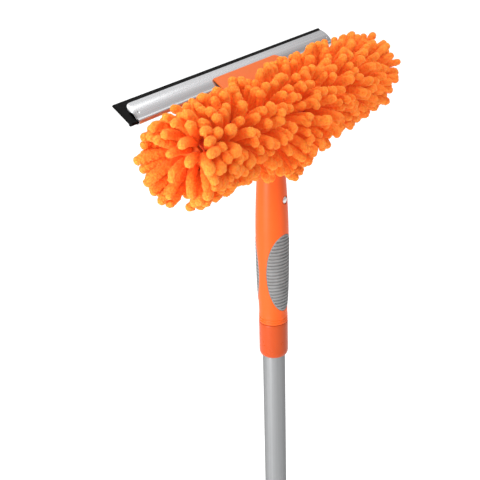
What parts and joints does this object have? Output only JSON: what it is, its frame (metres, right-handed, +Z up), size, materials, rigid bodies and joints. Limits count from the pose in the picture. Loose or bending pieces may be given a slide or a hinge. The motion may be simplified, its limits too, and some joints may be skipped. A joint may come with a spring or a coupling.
{
  "type": "window cleaning squeegee",
  "caption": "Two-in-one window washer with a chenille mop roll and a rubber squeegee on one head, a grip handle and a telescopic pole.",
  "frame": {"origin": "centre of the flat foot of the pole's end cap, on the pole's axis", "axes": "+Z up the pole towards the head; X along the head, squeegee and mop; the mop faces -Y and the squeegee lip leans back to +Y"},
  "size_m": [0.348, 0.097, 0.8328],
  "materials": {
    "handle_plastic": "satin moulded orange",
    "head_plastic": "satin moulded orange",
    "collar_plastic": "satin moulded red-orange",
    "soft_grip": "matt ribbed soft grip, grey",
    "nylon": "natural nylon",
    "blade_rubber": "smooth black rubber",
    "mop_cloth": "woven polyester backing",
    "chenille": "plush microfibre chenille",
    "channel_aluminium": "satin extruded",
    "pole_metal": "satin silver-grey",
    "bright_steel": "bright plated"
  },
  "bodies": {
    "handle": {"handle_body": "handle_plastic", "front_grip": "soft_grip", "rear_grip": "soft_grip", "clamp_collet": "nylon", "button_spring": "bright_steel", "head_frame": "head_plastic", "clamp_cover": "head_plastic", "clamp_screw_1": "bright_steel", "clamp_screw_2": "bright_steel", "clamp_screw_3": "bright_steel", "core_plug_left": "head_plastic", "core_plug_right": "head_plastic", "squeegee_channel": "channel_aluminium", "rubber_blade": "blade_rubber", "mop_backing": "mop_cloth", "mop_pile_left": "chenille", "mop_pile_middle": "chenille", "mop_pile_right": "chenille"},
    "button": {"lock_button": "bright_steel"},
    "collar": {"locking_collar": "collar_plastic"},
    "upper_pole": {"upper_tube": "pole_metal", "upper_tube_plug": "nylon", "lock_plug": "nylon", "lock_washer": "bright_steel", "lock_screw": "bright_steel"},
    "twist_lock": {"lock_sleeve": "nylon"},
    "lower_pole": {"lower_tube": "pole_metal", "guide_ferrule": "collar_plastic", "end_cap": "collar_plastic"}
  },
  "joints": [
    {"name": "button_press", "type": "slide", "parent": "handle", "child": "button", "axis": [0, 1, 0], "range_m": [0, 0.0055], "stiffness_N_per_m": 400, "deforming": ["button_spring"]},
    {"name": "collar_twist", "type": "hinge", "parent": "handle", "child": "collar", "pos_m": [0, 0, 0.562], "axis": [0, 0, 1], "range_deg": [0, 150]},
    {"name": "pole_slide", "type": "slide", "parent": "handle", "child": "upper_pole", "axis": [0, 0, -1], "range_m": [-0.009, 0.06]},
    {"name": "lock_twist", "type": "hinge", "parent": "upper_pole", "child": "twist_lock", "pos_m": [0, 0, 0.18], "axis": [0, 0, 1], "range_deg": [0, 180]},
    {"name": "telescope_slide", "type": "slide", "parent": "twist_lock", "child": "lower_pole", "axis": [0, 0, -1], "range_m": [-0.12, 0.115]}
  ]
}
